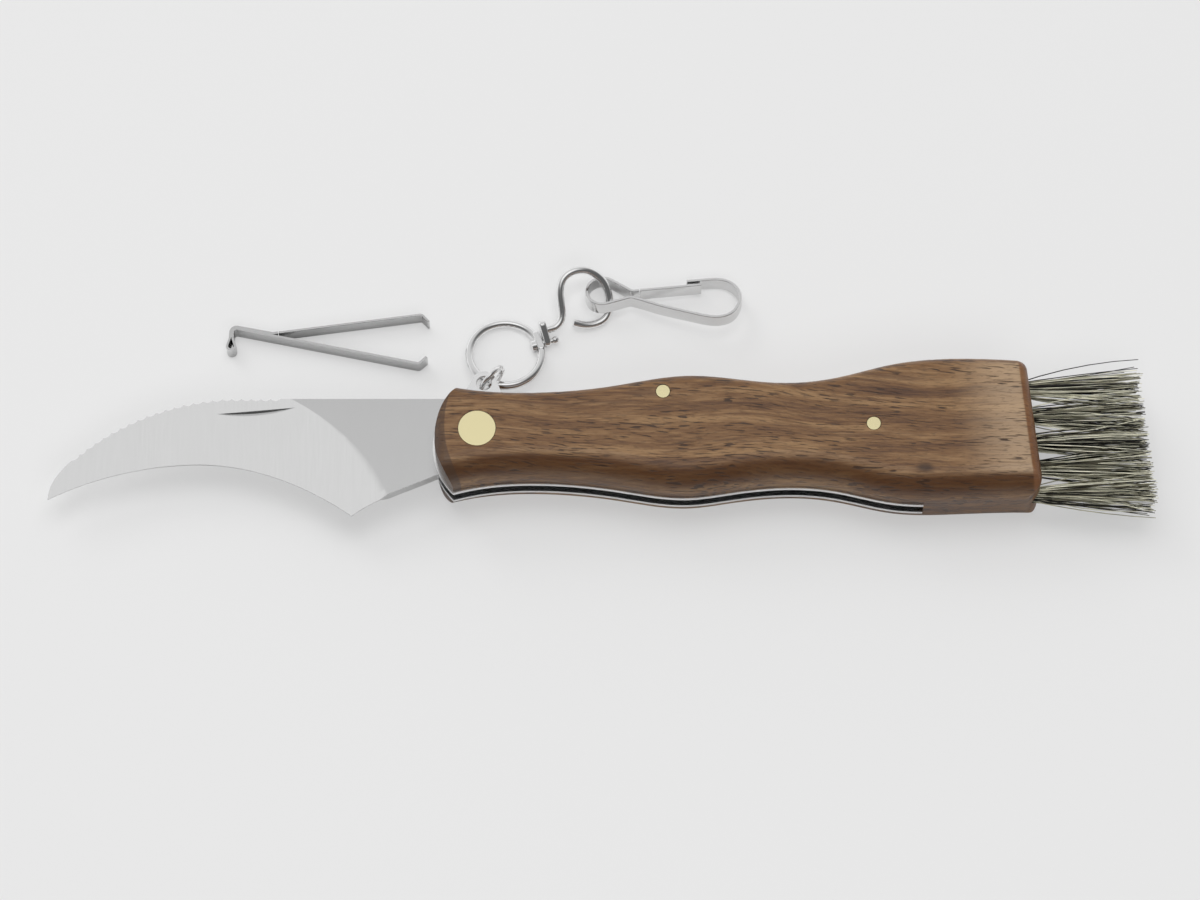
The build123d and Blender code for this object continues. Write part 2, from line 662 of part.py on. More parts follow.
def spring_hook():
    """The hook's strip: eye, waist, big end and the lip outside the gate."""
    return hook_location() * strip(hook_path(), HOOK_STRIP_WIDTH, HOOK_STRIP_THICKNESS)


def hook_gate():
    """The hook's springy gate, from the waist to behind the lip."""
    root = Vector(*hook_tables()[0][0])
    end = Vector(*scaled([GATE_END_SHARES], HOOK_LENGTH, HOOK_BREADTH)[0])
    start = root + (end - root).normalized() * GATE_GAP
    path = Line(start, end)
    return hook_location() * strip(path, HOOK_STRIP_WIDTH, HOOK_STRIP_THICKNESS)


def heading(angle, length):
    """A step of this length at this angle in the XY plane."""
    return Vector(length, 0).rotate(Axis.Z, angle)


def tweezers_corner():
    """Inner bend of the tweezers' head, on the front arm's middle line."""
    return Vector(TWEEZERS_X, TWEEZERS_Y)


def front_arm_points():
    """The front arm from the head's neck to its bent tip."""
    corner = tweezers_corner()
    neck = corner + Vector(0, -HEAD_DROP)
    end = corner + heading(ARM_HEADING, ARM_LENGTH)
    return [neck, corner, end, end + heading(ARM_HEADING + ARM_TIP_TURN, ARM_TIP_LENGTH)]


def rear_start():
    """Where the rear arm leaves the front one."""
    side = heading(ARM_HEADING + 90, STRIP_THICKNESS)
    return tweezers_corner() + side + heading(ARM_HEADING, DOUBLED_LENGTH)


def arm_root():
    """Where the springing length of the rear arm begins."""
    return rear_start() + heading(ARM_HEADING + ARM_SPREAD, ARM_ROOT)


def tweezers_body():
    """Front arm, doubled neck and the teardrop loop that pulls the tweezers out."""
    points = front_arm_points()
    front = strip(
        FilletPolyline(*points, radius=[HEAD_BEND_RADIUS, ARM_BEND_RADIUS]), STRIP_WIDTH, STRIP_THICKNESS
    )
    neck = points[0]
    middle = neck.X - STRIP_THICKNESS / 2
    low = neck.Y - LOOP_LENGTH + LOOP_WIDTH / 2
    loop_points = [
        (neck.X, neck.Y), (middle + LOOP_WIDTH / 2, low), (middle, neck.Y - LOOP_LENGTH),
        (middle - LOOP_WIDTH / 2, low), (neck.X - STRIP_THICKNESS, neck.Y),
    ]
    loop = strip(
        Polyline(loop_points[0], loop_points[1])
        + ThreePointArc(*loop_points[1:4])
        + Line(loop_points[3], loop_points[4]),
        STRIP_WIDTH, STRIP_THICKNESS,
    )
    side = heading(ARM_HEADING + 90, STRIP_THICKNESS)
    outer_corner = tweezers_corner() + Vector(-STRIP_THICKNESS, 0) + side
    outer = strip(
        FilletPolyline(
            (neck.X - STRIP_THICKNESS, neck.Y), outer_corner, rear_start(), arm_root(),
            radius=[HEAD_BEND_RADIUS + STRIP_THICKNESS, ARM_BEND_RADIUS],
        ),
        STRIP_WIDTH, STRIP_THICKNESS,
    )
    return Pos(0, 0, STRIP_WIDTH / 2) * (front + loop + outer)


def tweezers_arm():
    """The rear arm, which springs towards the front one."""
    turn = ARM_HEADING + ARM_SPREAD
    start = arm_root() + heading(turn, ARM_GAP)
    end = rear_start() + heading(turn, ARM_LENGTH - DOUBLED_LENGTH)
    tip = end + heading(turn - ARM_TIP_TURN, ARM_TIP_LENGTH)
    arm = strip(FilletPolyline(start, end, tip, radius=ARM_BEND_RADIUS), STRIP_WIDTH, STRIP_THICKNESS)
    return Pos(0, 0, STRIP_WIDTH / 2) * arm


def bristle(root, tip):
    """One tapered hair of four sides."""
    aim = tip - root
    low = Plane(origin=root, z_dir=aim) * Rectangle(BRISTLE_SIDE, BRISTLE_SIDE)
    high = Plane(origin=tip, z_dir=aim) * Rectangle(BRISTLE_TIP_SIDE, BRISTLE_TIP_SIDE)
    return loft([low, high], ruled=True)


def tuft(number, butt_x, y):
    """A tuft: a round root in its bore and hairs that fan out from it."""
    floor = butt_x - TUFT_DEPTH + STAPLE_WIDTH
    root = Pos(floor + ROOT_SLICE / 2, y, MIDDLE) * Rot(Y=90) * Cylinder(TUFT_RADIUS, ROOT_SLICE)
    hairs = []
    for ring, count in enumerate(BRISTLE_RINGS, start=1):
        share = ring / (len(BRISTLE_RINGS) + 0.5)
        for n in range(count):
            turn = 2 * math.pi * (n + ring / 2) / count
            dy, dz = TUFT_RADIUS * share * math.cos(turn), TUFT_RADIUS * share * math.sin(turn)
            reach = BRISTLE_LENGTH - BRISTLE_STAGGER * ((7 * n + 3 * ring + 2 * number) % 5) / 5
            start = Vector(floor + ROOT_SLICE - BRISTLE_SIDE, y + dy, MIDDLE + dz)
            spread = 1 + BRISTLE_FLARE * reach / BRISTLE_LENGTH
            end = Vector(butt_x + reach, y + dy * spread, MIDDLE + dz * spread)
            hairs.append(bristle(start, end))
    return root.fuse(*hairs)


def tuft_staples():
    """The flat wire anchors that hold the folded hairs at the bottom of each bore."""
    staples = []
    for butt_x, y in tuft_places():
        place = Pos(butt_x - TUFT_DEPTH + STAPLE_WIDTH / 2, y, MIDDLE)
        staples.append(place * Box(STAPLE_WIDTH - FIT, STAPLE_THICKNESS, STAPLE_LENGTH))
    return Compound(children=staples)


NODES = {
    "handle_body": handle_body,
    "liner_front": lambda: liner(MIDDLE + LINER_FACE + LINER_THICKNESS / 2),
    "liner_back": lambda: liner(BACK_LINER_Z, ear=True),
    "back_spring_arm": back_spring_arm,
    "back_spring_root": back_spring_root,
    "pivot_pin": pivot_pin,
    "pivot_cap_front": lambda: pivot_cap(HANDLE_THICKNESS - PIVOT_CAP_THICKNESS),
    "pivot_cap_back": lambda: pivot_cap(0),
    "spring_pin": lambda: small_pin(SPRING_PIN_X, SPRING_PIN_Y),
    "rear_pin": lambda: small_pin(REAR_PIN_X, REAR_PIN_Y),
    "blade": blade,
    "tuft_staples": tuft_staples,
    "jump_ring": jump_ring,
    "swivel_ring": swivel_ring,
    "swivel_pin": swivel_pin,
    "swivel_eye": swivel_eye,
    "spring_hook": spring_hook,
    "hook_gate": hook_gate,
    "tweezers_body": tweezers_body,
    "tweezers_arm": tweezers_arm,
}

SHAPES = {name: make() for name, make in NODES.items()}
for number, (butt_x, y) in enumerate(tuft_places(), start=1):
    SHAPES[f"bristle_tuft_{number}"] = tuft(number, butt_x, y)
for name, shape in SHAPES.items():
    export_step(shape, f"parts/{name}.step")
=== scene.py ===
# %% [markdown]
# # A folding mushroom knife on a pale table
# The knife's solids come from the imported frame, one object for each piece of the real knife.
# This script dresses them: it sets up a small photo studio, mixes the finishes, and makes the
# pieces whose looks need more than a plain solid, such as the hairs of the brush.

import math
import random

import bmesh
import bpy
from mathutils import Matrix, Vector


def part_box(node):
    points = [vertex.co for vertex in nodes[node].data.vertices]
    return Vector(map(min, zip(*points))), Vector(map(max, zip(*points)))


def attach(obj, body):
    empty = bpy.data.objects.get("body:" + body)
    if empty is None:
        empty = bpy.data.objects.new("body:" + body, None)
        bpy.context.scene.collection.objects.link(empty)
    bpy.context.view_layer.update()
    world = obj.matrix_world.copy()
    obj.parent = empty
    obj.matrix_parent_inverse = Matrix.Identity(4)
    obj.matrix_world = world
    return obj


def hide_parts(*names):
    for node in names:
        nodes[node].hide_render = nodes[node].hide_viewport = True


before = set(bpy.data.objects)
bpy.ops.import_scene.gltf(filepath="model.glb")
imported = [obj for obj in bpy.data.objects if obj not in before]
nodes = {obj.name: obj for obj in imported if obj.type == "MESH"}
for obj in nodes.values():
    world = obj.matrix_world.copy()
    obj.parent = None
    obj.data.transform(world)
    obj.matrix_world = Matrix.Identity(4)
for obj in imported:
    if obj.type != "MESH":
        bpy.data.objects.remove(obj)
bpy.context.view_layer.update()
MM = 0.001


def mm(*lengths):
    """A place or a size given in millimetres, in the scene's metres."""
    return Vector(lengths) * MM


# %% [markdown]
# ## The studio
# The photograph looks steeply down on the knife from its belly side. A long lens far away keeps
# the blade and the brush at one scale, as it is there. The table is a plain pale sheet.

# %% Camera
LOOK_AT = mm(22.6, -1.2, 8.0)
ELEVATION = math.radians(68.5)
CAMERA_DISTANCE, VIEW_WIDTH = 0.9, 0.222
NEAREST_SEEN = 0.01

eye = LOOK_AT + CAMERA_DISTANCE * Vector((0, -math.cos(ELEVATION), math.sin(ELEVATION)))
camera = bpy.data.objects.new("camera", bpy.data.cameras.new("camera"))
camera.location = eye
camera.rotation_euler = (LOOK_AT - eye).to_track_quat("-Z", "Y").to_euler()
camera.data.lens = camera.data.sensor_width * CAMERA_DISTANCE / VIEW_WIDTH
camera.data.clip_start = NEAREST_SEEN
bpy.context.scene.collection.objects.link(camera)
bpy.context.scene.camera = camera
print("lens", round(camera.data.lens, 1), "mm")

# %% [markdown]
# ## Shader maths as plain sums
# A finish is a small sum of patterns. Wiring each Math node by hand hides that sum, so this
# class lets a socket stand in an ordinary Python expression and adds the nodes behind it.


# %% A socket that can be added and multiplied
class Shade:
    """A shader socket for sums, products and powers, such as 1 - mask."""

    def __init__(self, finish, socket):
        self.finish, self.socket = finish, socket

    def maths(self, operation, first, second):
        return self.finish.node("Math", {"operation": operation}, {0: first, 1: second})

    def __add__(self, other):
        return self.maths("ADD", self, other)

    def __radd__(self, other):
        return self.maths("ADD", other, self)

    def __sub__(self, other):
        return self.maths("SUBTRACT", self, other)

    def __rsub__(self, other):
        return self.maths("SUBTRACT", other, self)

    def __mul__(self, other):
        return self.maths("MULTIPLY", self, other)

    def __rmul__(self, other):
        return self.maths("MULTIPLY", other, self)

    def __truediv__(self, other):
        return self.maths("DIVIDE", self, other)

    def __pow__(self, other):
        return self.maths("POWER", self, other)


# %% [markdown]
# ## Node trees
# The finishes and the sky are built with the same few recipes. A finish is one material with a
# surface shader and the place of every point in millimetres. What is the same all over goes on
# the shader's own sockets, and only what changes is wired.


# %% A tree and its recipes
class Nodes:
    """A node tree, with the few recipes that the finishes and the sky share."""

    def __init__(self, tree):
        self.tree = tree

    def node(self, kind, settings=None, sockets=None, output=0):
        """Adds a node: its settings first, then the values or links of its sockets."""
        made = self.tree.nodes.new("ShaderNode" + kind)
        for setting, value in (settings or {}).items():
            setattr(made, setting, value)
        for name, value in (sockets or {}).items():
            if isinstance(value, Shade):
                self.tree.links.new(value.socket, made.inputs[name])
            else:
                made.inputs[name].default_value = value
        return Shade(self, made.outputs[output])

    def axes(self, vector):
        """The x, y and z of a vector."""
        outputs = self.node("SeparateXYZ", {}, {"Vector": vector}).socket.node.outputs
        return [Shade(self, outputs[axis]) for axis in "XYZ"]

    def noise(self, x, y, z, detail=2.0, roughness=0.5):
        """Noise with one blob to a unit, on a place put together from three numbers."""
        vector = self.node("CombineXYZ", {}, {"X": x, "Y": y, "Z": z})
        sockets = {"Vector": vector, "Scale": 1.0, "Detail": detail, "Roughness": roughness}
        return self.node("TexNoise", {}, sockets)

    def step(self, value, low, high):
        """A soft step from 0 at low to 1 at high."""
        sockets = {"Value": value, "From Min": low, "From Max": high}
        return self.node("MapRange", {"interpolation_type": "SMOOTHSTEP"}, sockets)

    def tint(self, mask, first, second):
        """The first colour where the mask is 0 and the second where it is 1."""
        colours = [c if isinstance(c, Shade) else (*c, 1.0) for c in (first, second)]
        sockets = {"Factor": mask, 6: colours[0], 7: colours[1]}
        return self.node("Mix", {"data_type": "RGBA"}, sockets, output=2)


# %% A finish
class Finish(Nodes):
    """A procedural material with one surface shader."""

    def __init__(self, name, constants):
        self.material = bpy.data.materials.new(name)
        self.material.use_nodes = True
        super().__init__(self.material.node_tree)
        self.shader = self.tree.nodes["Principled BSDF"]
        for socket, value in constants.items():
            self.shader.inputs[socket].default_value = value

    def place(self):
        """The x, y and z of each point, in millimetres."""
        metres = self.node("TexCoord", output="Object")
        return self.axes(self.node("Mapping", {}, {"Vector": metres, "Scale": (1 / MM,) * 3}))

    def wire(self, socket, shade):
        self.tree.links.new(shade.socket, self.shader.inputs[socket])

    def marks(self, size, place, detail=2.0, roughness=0.5):
        """Noise whose marks have this size in millimetres along each axis of the place."""
        x, y, z = (axis / reach for axis, reach in zip(place, size))
        return self.noise(x, y, z, detail, roughness)

    def bump(self, height, depth):
        """Wires a height between 0 and 1 to the normal, with its depth in millimetres."""
        sockets = {"Height": height, "Distance": depth * MM, "Strength": 1.0}
        self.wire("Normal", self.node("Bump", {}, sockets))


# %% [markdown]
# ## Table, world and lamps
# The table is one pale colour. A camera ray sees part of it as plain light, which keeps it even
# right to the frame's edge, and the rest is lit, so the knife still throws its soft shadow.
# The world around it is bright overhead and behind, a little bright near the horizon, and dark
# in front and to the right, which gives the steel its dark lines. The lamps only soften and
# fill: they are hidden from glossy rays, so the steel doesn't mirror them.

# %% Table
FLOOR_COLOUR = (0.79, 0.79, 0.79)
FLOOR_REACH, FLOOR_GLOW, FLOOR_ROUGHNESS = 6.0, 0.55, 0.9

table_finish = Finish("table", {"Roughness": FLOOR_ROUGHNESS, "Specular IOR Level": 0.0})
table_finish.shader.inputs["Base Color"].default_value = (*FLOOR_COLOUR, 1.0)
glow = table_finish.node("Emission", {}, {"Color": (*FLOOR_COLOUR, 1.0), "Strength": 1.0})
seen = table_finish.node("LightPath", output="Is Camera Ray")
shared = table_finish.node(
    "MixShader", {},
    {"Fac": seen * FLOOR_GLOW, 1: Shade(table_finish, table_finish.shader.outputs[0]), 2: glow},
)
output = table_finish.tree.nodes["Material Output"]
table_finish.tree.links.new(shared.socket, output.inputs["Surface"])

sheet = bmesh.new()
bmesh.ops.create_grid(sheet, x_segments=1, y_segments=1, size=FLOOR_REACH / 2)
table_mesh = bpy.data.meshes.new("table")
sheet.to_mesh(table_mesh)
sheet.free()
table = bpy.data.objects.new("table", table_mesh)
table_mesh.materials.append(table_finish.material)
bpy.context.scene.collection.objects.link(table)
print("table", FLOOR_REACH, "m")

# %% World
BACK_WALL, FRONT_WALL, CEILING, HORIZON = 0.55, 0.12, 0.80, 0.30
BACK_HEADING = (-0.35, 0.9)
BACK_SPAN = (-0.15, 0.55)
CEILING_SPAN, CEILING_FRONT = (0.90, 0.98), (-0.36, -0.16)
HORIZON_SPAN = (0.55, 0.15)

world = bpy.data.worlds.new("studio")
bpy.context.scene.world = world
world.use_nodes = True
sky = Nodes(world.node_tree)
east, north, up = sky.axes(sky.node("TexCoord", output="Generated"))
toward_back = east * BACK_HEADING[0] + north * BACK_HEADING[1]
back = sky.step(toward_back, *BACK_SPAN) * BACK_WALL
ceiling = sky.step(up, *CEILING_SPAN) * sky.step(north, *CEILING_FRONT) * CEILING
horizon = sky.step(up, *HORIZON_SPAN) * HORIZON
level = back + ceiling + horizon + FRONT_WALL
background = sky.tree.nodes["Background"]
sky.tree.links.new(level.socket, background.inputs["Strength"])
background.inputs["Color"].default_value = (1.0, 1.0, 1.0, 1.0)
print("world nodes", len(sky.tree.nodes))

# %% Lamps
LAMPS = {
    "overhead": {"at": (0.0, 0.25, 1.2), "size": (0.9, 0.6), "power": 5.4},
    "back_left": {"at": (-0.7, 0.8, 0.9), "size": (0.6, 0.6), "power": 4.0},
    "front": {"at": (0.2, -0.8, 1.0), "size": (0.9, 0.5), "power": 3.8},
}
for name, lamp in LAMPS.items():
    light = bpy.data.lights.new(name, "AREA")
    light.shape = "RECTANGLE"
    light.size, light.size_y = lamp["size"]
    light.energy = lamp["power"]
    stand = bpy.data.objects.new(name, light)
    stand.location = lamp["at"]
    stand.rotation_euler = (LOOK_AT - stand.location).to_track_quat("-Z", "Y").to_euler()
    stand.visible_glossy = False
    bpy.context.scene.collection.objects.link(stand)
print("lamps", list(LAMPS))
bpy.context.scene.view_settings.view_transform = "Standard"

# %% [markdown]
# ## Walnut
# The handle is one block of oiled walnut. Its grain runs along the handle in soft bands, with
# fine fibres and short dark pores, and one small knot lies near the butt. Each pattern is a noise
# stretched along x, and its size is the length, width and depth of one mark in millimetres. An
# image of wood would end at the block's edges, and a noise runs on through the whole block.

# %% Walnut's grain
GRAIN_SLOPE, GRAIN_SWAY = 0.03, 6.0
SWAY_SIZE, BAND_SIZE = (38, 16, 16), (60, 3.0, 5)
FIBRE_SIZE, STREAK_SIZE = (5, 0.36, 0.5), (16, 1.1, 1.5)
BAND_SHARE, STREAK_SHARE, FIBRE_SHARE = 0.40, 0.28, 0.32

walnut = Finish("walnut", {"Specular IOR Level": 0.6})
x, y, z = walnut.place()
sway = walnut.marks(SWAY_SIZE, (x, y, z), detail=1.0) - 0.5
across = y + x * GRAIN_SLOPE + sway * GRAIN_SWAY
along_grain = (x, across, z)
bands = walnut.marks(BAND_SIZE, along_grain)
fibres = walnut.marks(FIBRE_SIZE, along_grain, roughness=0.6)
streaks = walnut.marks(STREAK_SIZE, along_grain)
tone = bands * BAND_SHARE + streaks * STREAK_SHARE + fibres * FIBRE_SHARE
print("bands of", BAND_SIZE[1], "mm, fibres of", FIBRE_SIZE[1], "mm")

# %% [markdown]
# ### Pores
# Walnut's pores are open vessels, cut along their length, so they show as short dark dashes.
# They could be modelled as grooves, but thousands of them would weigh the mesh down. A noise cut
# off at a level gives the same dashes, in colour and as a shallow bump. They gather in patches.

# %% Walnut's pores
LINE_SIZE, LINE_LEVELS = (13, 0.75, 1.5), (0.57, 0.68)
PORE_SIZE, PORE_LEVELS = (2.8, 0.30, 0.5), (0.58, 0.68)
FINE_SIZE, FINE_LEVELS = (1.3, 0.30, 0.4), (0.56, 0.68)
PATCH_SIZE, PATCH_LEVELS = (12, 2.3, 3), (0.40, 0.62)
PORE_SLOPE, PORE_SWAY = 0.08, 5.0
PORE_DEPTH, PATCH_DEPTH, FINE_DEPTH = 0.22, 0.63, 0.28

dark_lines = walnut.step(walnut.marks(LINE_SIZE, along_grain), *LINE_LEVELS)
slanted = (x, y + x * PORE_SLOPE + sway * PORE_SWAY, z)
pores = walnut.step(walnut.marks(PORE_SIZE, slanted, detail=0.0), *PORE_LEVELS)
fine_pores = walnut.step(walnut.marks(FINE_SIZE, along_grain, detail=1.0), *FINE_LEVELS)
patches = walnut.step(walnut.marks(PATCH_SIZE, along_grain, detail=1.0), *PATCH_LEVELS)
pitting = pores * (PORE_DEPTH + patches * PATCH_DEPTH) + fine_pores * FINE_DEPTH
print("pores of", PORE_SIZE[0], "and", FINE_SIZE[0], "mm")

# %% [markdown]
# ### The knot, the cut ends and the painted belly shade
# The block is rounded at its ends, so these faces cut through the grain, and oil sinks in deeper
# there. Along the belly, the upper part of the rounding faces the dark front, and a darker brown
# is painted there as shade. They could be separate materials, but then the tint would end in a
# hard line. Each face gets its own mask instead, from the lines and the arc that bound the block.
# Before the butt the oiled top catches a paler glare.

# %% Walnut's knot, cut ends and painted belly shade
KNOT_AT, KNOT_SIZE, KNOT_FADE = (82.1, -7.7), (1.5, 0.8), (0.4, 1.5)
BUTT_MIDDLE, BUTT_LEAN, BUTT_FADE = 102.7, -0.0937, (-1.8, -1.4)
GLARE_FADE, TOP_FADE = (-16.0, -3.0), (15.5, 15.9)
FRONT_CENTRE, FRONT_RADIUS, FRONT_BLUR, FRONT_FADE = (13.7, 0.9), 19.7, 0.15, (1.0, 0.0)
BELLY_SHADE_TOP, BELLY_SHADE_FOOT, BELLY_SHADE_FADE = (15.95, 15.5), (12.2, 13.8), (0.0, -2.0)


def distance(centre, size):
    """How far a point of the block is from a centre, in units of the size along x and y."""
    return (((x - centre[0]) / size[0]) ** 2.0 + ((y - centre[1]) / size[1]) ** 2.0) ** 0.5


knot = 1.0 - walnut.step(distance(KNOT_AT, KNOT_SIZE), *KNOT_FADE)
from_butt = x - BUTT_MIDDLE - y * BUTT_LEAN
behind = walnut.step(from_butt, *BUTT_FADE)
glare = walnut.step(from_butt, *GLARE_FADE) * (1.0 - behind) * walnut.step(z, *TOP_FADE)
arc = distance(FRONT_CENTRE, (1.0, 1.0))
ahead = walnut.step(arc, FRONT_RADIUS - FRONT_BLUR, FRONT_RADIUS + FRONT_BLUR)
ahead = ahead * walnut.step(x, *FRONT_FADE)
# Painted shade: the belly's upper rounding faces the dark front, so a darker brown stands in for
# the light it misses.
belly_shade = walnut.step(z, *BELLY_SHADE_TOP) * walnut.step(z, *BELLY_SHADE_FOOT) * walnut.step(y, *BELLY_SHADE_FADE)
print("knot at", KNOT_AT)

# %% Walnut put together
DEEP, MID, PALE = (0.070, 0.027, 0.009), (0.155, 0.072, 0.022), (0.260, 0.145, 0.058)
GLARE, PORE = (0.480, 0.345, 0.215), (0.030, 0.012, 0.004)
# The first colour on this line is the painted belly shade, not a colour of the wood.
BELLY_SHADE, END, BUTT = (0.065, 0.022, 0.004), (0.052, 0.026, 0.014), (0.190, 0.078, 0.030)
WALNUT_LAYERS = (
    (glare * 0.55, GLARE), (dark_lines * 0.50, DEEP), (belly_shade * 0.75, BELLY_SHADE),
    (pitting, PORE), (knot * 0.80, PORE), (ahead * 0.70, END), (behind * 0.60, BUTT),
)
MID_LEVELS, PALE_LEVELS = (0.36, 0.50), (0.47, 0.62)
WALNUT_ROUGHNESS, FIBRE_ROUGHNESS = 0.26, 0.16
PIT_BUMP, FIBRE_BUMP, BUMP_DEPTH = 0.8, 0.2, 0.05

wood = walnut.tint(walnut.step(tone, *MID_LEVELS), DEEP, MID)
wood = walnut.tint(walnut.step(tone, *PALE_LEVELS), wood, PALE)
for mask, colour in WALNUT_LAYERS:
    wood = walnut.tint(mask, wood, colour)
walnut.wire("Base Color", wood)
walnut.wire("Roughness", WALNUT_ROUGHNESS + fibres * FIBRE_ROUGHNESS)
walnut.bump(1.0 - pitting * PIT_BUMP - fibres * FIBRE_BUMP, BUMP_DEPTH)
print("walnut nodes", len(walnut.tree.nodes))

# %% [markdown]
# ## Steel and brass
# The blade is satin steel, brushed across its length, so its grain is a noise stretched along y.
# The liners and the spring are plainer. The rings are wire, drawn bright, with only faint marks,
# and the hook and the tweezers are duller strip. The brass discs and pins are ground flush with
# the wood. Steel is mostly what it mirrors, so one recipe does for all of them: a colour, a
# roughness and a fine grain. Scratches could come from an image, which would repeat and stretch.


# %% Metals
CLOUD_SIZE, LINE_SHARE, ROUGHNESS_SPREAD = (9, 9, 9), 0.6, 0.06


def metal(name, colour, roughness, grain, contrast, depth):
    """A metal with a drawn or brushed grain: the grain's size in millimetres along x, y and z."""
    finish = Finish(name, {"Metallic": 1.0})
    place = finish.place()
    lines = finish.marks(grain, place)
    clouds = finish.marks(CLOUD_SIZE, place, detail=1.0)
    shade = 1.0 - (lines * LINE_SHARE + clouds * (1.0 - LINE_SHARE)) * contrast
    bright = finish.node("VectorMath", {"operation": "SCALE"}, {0: colour, "Scale": shade})
    finish.wire("Base Color", bright)
    finish.wire("Roughness", roughness + (lines - 0.5) * ROUGHNESS_SPREAD)
    finish.bump(lines, depth)
    print(name, "roughness", roughness)
    return finish


blade_steel = metal("blade_steel", (0.64,) * 3, 0.23, (0.10, 6.0, 6.0), 0.05, 0.001)
liner_steel = metal("liner_steel", (0.88,) * 3, 0.18, (3.0, 3.0, 0.3), 0.04, 0.0005)
spring_steel = metal("spring_steel", (0.26,) * 3, 0.30, (4.0, 4.0, 0.3), 0.10, 0.001)
fitting_steel = metal("fitting_steel", (0.90,) * 3, 0.12, (1.5, 1.5, 1.5), 0.05, 0.001)
hook_steel = metal("hook_steel", (0.74,) * 3, 0.14, (1.5, 1.5, 1.5), 0.06, 0.001)
tweezers_steel = metal("tweezers_steel", (0.64,) * 3, 0.18, (0.4, 0.4, 3.0), 0.10, 0.001)
brass = metal("brass", (0.97, 0.87, 0.52), 0.24, (0.25, 0.25, 0.25), 0.09, 0.002)

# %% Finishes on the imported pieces
FINISHES = {
    "handle_body": walnut,
    "liner_front": liner_steel, "liner_back": liner_steel,
    "back_spring_arm": spring_steel, "back_spring_root": spring_steel,
    "pivot_pin": spring_steel, "pivot_cap_front": brass, "pivot_cap_back": brass,
    "spring_pin": brass, "rear_pin": brass,
    "blade": blade_steel, "tuft_staples": spring_steel,
    "jump_ring": fitting_steel, "swivel_ring": fitting_steel, "swivel_pin": fitting_steel,
    "swivel_eye": fitting_steel, "spring_hook": hook_steel, "hook_gate": hook_steel,
    "tweezers_body": tweezers_steel, "tweezers_arm": tweezers_steel,
}
for name, finish in FINISHES.items():
    node = nodes[name]
    node.data.materials.clear()
    node.data.materials.append(finish.material)
print("dressed", len(FINISHES), "pieces")

# %% [markdown]
# ## Eased edges
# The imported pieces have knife-sharp edges, and real ones are broken a little, which is what
# catches the light along a liner or round a brass pin. A Bevel modifier could do it too, but the
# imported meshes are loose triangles. So each copy here is merged first, gets a small bevel on its
# sharp edges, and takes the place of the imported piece. The normals lean to the larger faces, so
# the flats stay flat and only the bevels look round. The blade's grind ends in a soft ramp where
# the wheel ran out, and its foot meets the edge without a crease, so its normals are set there.

# %% Easing
SHARP, FLAT = math.radians(60), math.radians(0.3)
MERGE = 0.0005
GRIND_DROP, GRIND_RUN = 1.1, 14.0
GRIND_FOOT, FOOT_HALF = -5.4, 0.2
RAMP = (-28.0, -13.0)
BLADE_MIDDLE, FLAT_HALF = 8.0, 1.2
SIDE_FACING = 0.5


def ground(place, lean):
    """The blade's normal, blended where the wheel ran out and kept tilted down to the edge."""
    x, y, depth = place.x / MM, place.y / MM, abs(place.z / MM - BLADE_MIDDLE)
    on_ramp = RAMP[0] < x < RAMP[1]
    on_foot = y < GRIND_FOOT and depth < FOOT_HALF
    if abs(lean.z) < SIDE_FACING or not (on_ramp or on_foot):
        return lean
    tilt = 0.0 if depth > FLAT_HALF else math.atan(GRIND_DROP / GRIND_RUN)
    return Vector((0, -math.sin(tilt), math.copysign(math.cos(tilt), lean.z)))


def eased(name, body, width, segments):
    """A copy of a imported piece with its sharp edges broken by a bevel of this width."""
    form = bmesh.new()
    form.from_mesh(nodes[name].data)
    bmesh.ops.remove_doubles(form, verts=form.verts, dist=MERGE * MM)
    bmesh.ops.dissolve_limit(form, angle_limit=FLAT, verts=form.verts, edges=form.edges)
    sharp = [e for e in form.edges if e.is_manifold and e.calc_face_angle() > SHARP]
    bmesh.ops.bevel(
        form, geom=sharp, offset=width * MM, offset_type="OFFSET", affect="EDGES",
        segments=segments, profile=0.5, material=-1, clamp_overlap=True,
    )
    normals = []
    form.normal_update()
    for corner in form.verts:
        lean = sum((face.normal * face.calc_area() for face in corner.link_faces), Vector())
        lean.normalize()
        normals.append(ground(corner.co, lean) if name == "blade" else lean)
    for face in form.faces:
        face.smooth = True
    mesh = bpy.data.meshes.new("eased_" + name)
    form.to_mesh(mesh)
    form.free()
    mesh.normals_split_custom_set_from_vertices(normals)
    mesh.materials.append(FINISHES[name].material)
    piece = bpy.data.objects.new("eased_" + name, mesh)
    bpy.context.scene.collection.objects.link(piece)
    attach(piece, body)
    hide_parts(name)
    return piece


# %% Eased pieces
EASED = {
    "blade": ("blade", "blade_steel", 0.07, 2),
    "liner_front": ("handle", "liner_steel", 0.10, 2),
    "liner_back": ("handle", "liner_steel", 0.10, 2),
    "back_spring_arm": ("spring", "spring_steel", 0.10, 2),
    "pivot_cap_front": ("handle", "brass", 0.12, 2),
    "pivot_cap_back": ("handle", "brass", 0.12, 2),
    "spring_pin": ("handle", "brass", 0.15, 2),
    "rear_pin": ("handle", "brass", 0.15, 2),
    "spring_hook": ("hook", "fitting_steel", 0.13, 3),
    "hook_gate": ("gate", "fitting_steel", 0.13, 3),
    "tweezers_body": ("tweezers", "fitting_steel", 0.10, 3),
    "tweezers_arm": ("tweezers_arm", "fitting_steel", 0.10, 3),
}
for name, (body, slot, width, segments) in EASED.items():
    piece = eased(name, body, width, segments)
    print(piece.name, "faces", len(piece.data.polygons))

# %% [markdown]
# ## The brush
# The butt holds one row of tufts of natural hair, grey-khaki, straw and black mixed. A particle
# system could grow them, but the exported model would lose it. Here a hair is a curve with a
# round bevel that thins towards its tip, because a curve takes a bend and a taper from a few
# points. Each tuft's curve is made a mesh at the end, so that it is one plain piece.

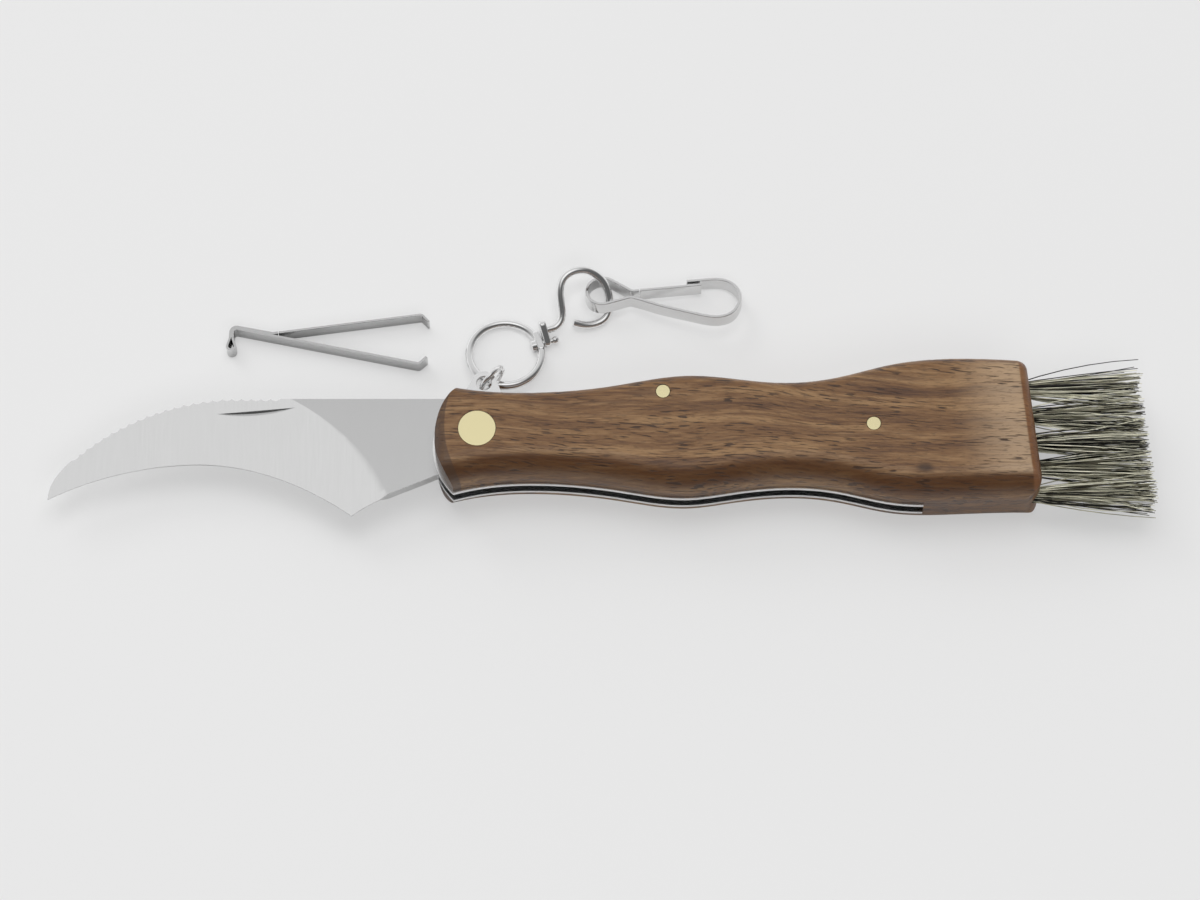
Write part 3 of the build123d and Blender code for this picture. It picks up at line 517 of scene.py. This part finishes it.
# %% Hair finishes
HAIR_COLOURS = {
    "hair_straw": (0.88, 0.86, 0.68),
    "hair_khaki": (0.46, 0.44, 0.32),
    "hair_olive": (0.11, 0.10, 0.062),
    "hair_black": (0.006, 0.005, 0.004),
}
HAIR_MIX = (0, 0, 0, 0, 1, 1, 2, 2, 3, 3, 3, 3)
MOTTLE_SIZE, MOTTLE_LEVELS, MOTTLE_SHADE = (4.0, 0.5, 0.5), (0.35, 0.65), 0.55

hair_finishes = []
for name, colour in HAIR_COLOURS.items():
    hair = Finish(name, {"Roughness": 0.42, "Specular IOR Level": 0.4})
    mottle = hair.step(hair.marks(MOTTLE_SIZE, hair.place(), detail=1.0), *MOTTLE_LEVELS)
    dark = tuple(channel * MOTTLE_SHADE for channel in colour)
    hair.wire("Base Color", hair.tint(mottle, dark, colour))
    hair_finishes.append(hair)
print("hairs in", len(hair_finishes), "colours")

# %% One hair
HAIR_POINTS = 6


def share_along(n):
    """How far the nth point lies from root to tip, from 0 to 1."""
    return n / (HAIR_POINTS - 1)


def hair_line(root, tip, sag):
    """Points from root to tip, bowed sideways by sag at the middle."""
    shares = [share_along(n) for n in range(HAIR_POINTS)]
    return [root.lerp(tip, share) + sag * (4 * share * (1 - share)) for share in shares]


# %% [markdown]
# ### Tufts
# On the real brush a tuft is folded over a wire and pulled into a bore, so its hairs leave the
# wood as a tight round bundle and spread a little on the way out. Each hair here starts at a
# random place in the bore and ends at that place pushed outwards, with a small drift. One seeded
# random source draws every number in a fixed order, so each run gives the same brush.

# %% Tufts
TUFTS = 5
HAIRS_IN_TUFT = 112
HAIR_ROOT, HAIR_TIP = 0.115, 0.070
BORE_RADIUS, ROOT_DEPTH, ROOT_TO_BUTT = 1.42, 2.0, 6.6
FLARE, STRAY, BOW = 1.10, 1.25, 0.42
TIP_SPREAD, TIP_GAP = 1.1, 0.05
LOWEST = -14.1 * MM
SEED = 7
chance = random.Random(SEED)


def stray(spread):
    """A random sideways drift, with this spread in millimetres."""
    return Vector((0, chance.gauss(0, spread), chance.gauss(0, spread))) * MM


def tuft(name):
    """A tuft of hairs in place of a packed one, with its root in the same bore."""
    low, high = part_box(name)
    rim = [v.co for v in nodes[name].data.vertices if v.co.x < low.x + MM]
    middle = sum(rim, Vector()) / len(rim)
    root_x = low.x + (ROOT_TO_BUTT - ROOT_DEPTH) * MM
    tip_x = high.x - TIP_GAP * MM
    curve = bpy.data.curves.new(name, "CURVE")
    curve.dimensions = "3D"
    curve.bevel_depth, curve.bevel_resolution = MM, 0
    curve.use_fill_caps = True
    for finish in hair_finishes:
        curve.materials.append(finish.material)
    for _ in range(HAIRS_IN_TUFT):
        turn = chance.uniform(0, 2 * math.pi)
        reach = BORE_RADIUS * math.sqrt(chance.random())
        side = Vector((0, math.cos(turn), math.sin(turn)))
        root = Vector((root_x, middle.y, middle.z)) + side * reach * MM
        tip = root + side * reach * FLARE * MM + stray(STRAY)
        tip.y = max(tip.y, LOWEST)
        tip.x = tip_x - abs(chance.gauss(0, TIP_SPREAD)) * MM
        sag = stray(BOW)
        spline = curve.splines.new("POLY")
        spline.points.add(HAIR_POINTS - 1)
        for n, point in enumerate(hair_line(root, tip, sag)):
            spline.points[n].co = (*point, 1.0)
            spline.points[n].radius = HAIR_ROOT + (HAIR_TIP - HAIR_ROOT) * share_along(n)
        spline.material_index = chance.choice(HAIR_MIX)
    strand = bpy.data.objects.new(name + "_line", curve)
    mesh = bpy.data.meshes.new_from_object(strand)
    bpy.data.objects.remove(strand)
    piece = bpy.data.objects.new("hair_" + name, mesh)
    bpy.context.scene.collection.objects.link(piece)
    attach(piece, "handle")
    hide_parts(name)
    return piece


tufts = [tuft(f"bristle_tuft_{number}") for number in range(1, TUFTS + 1)]
print("triangles in a tuft", sum(len(p.vertices) - 2 for p in tufts[0].data.polygons))
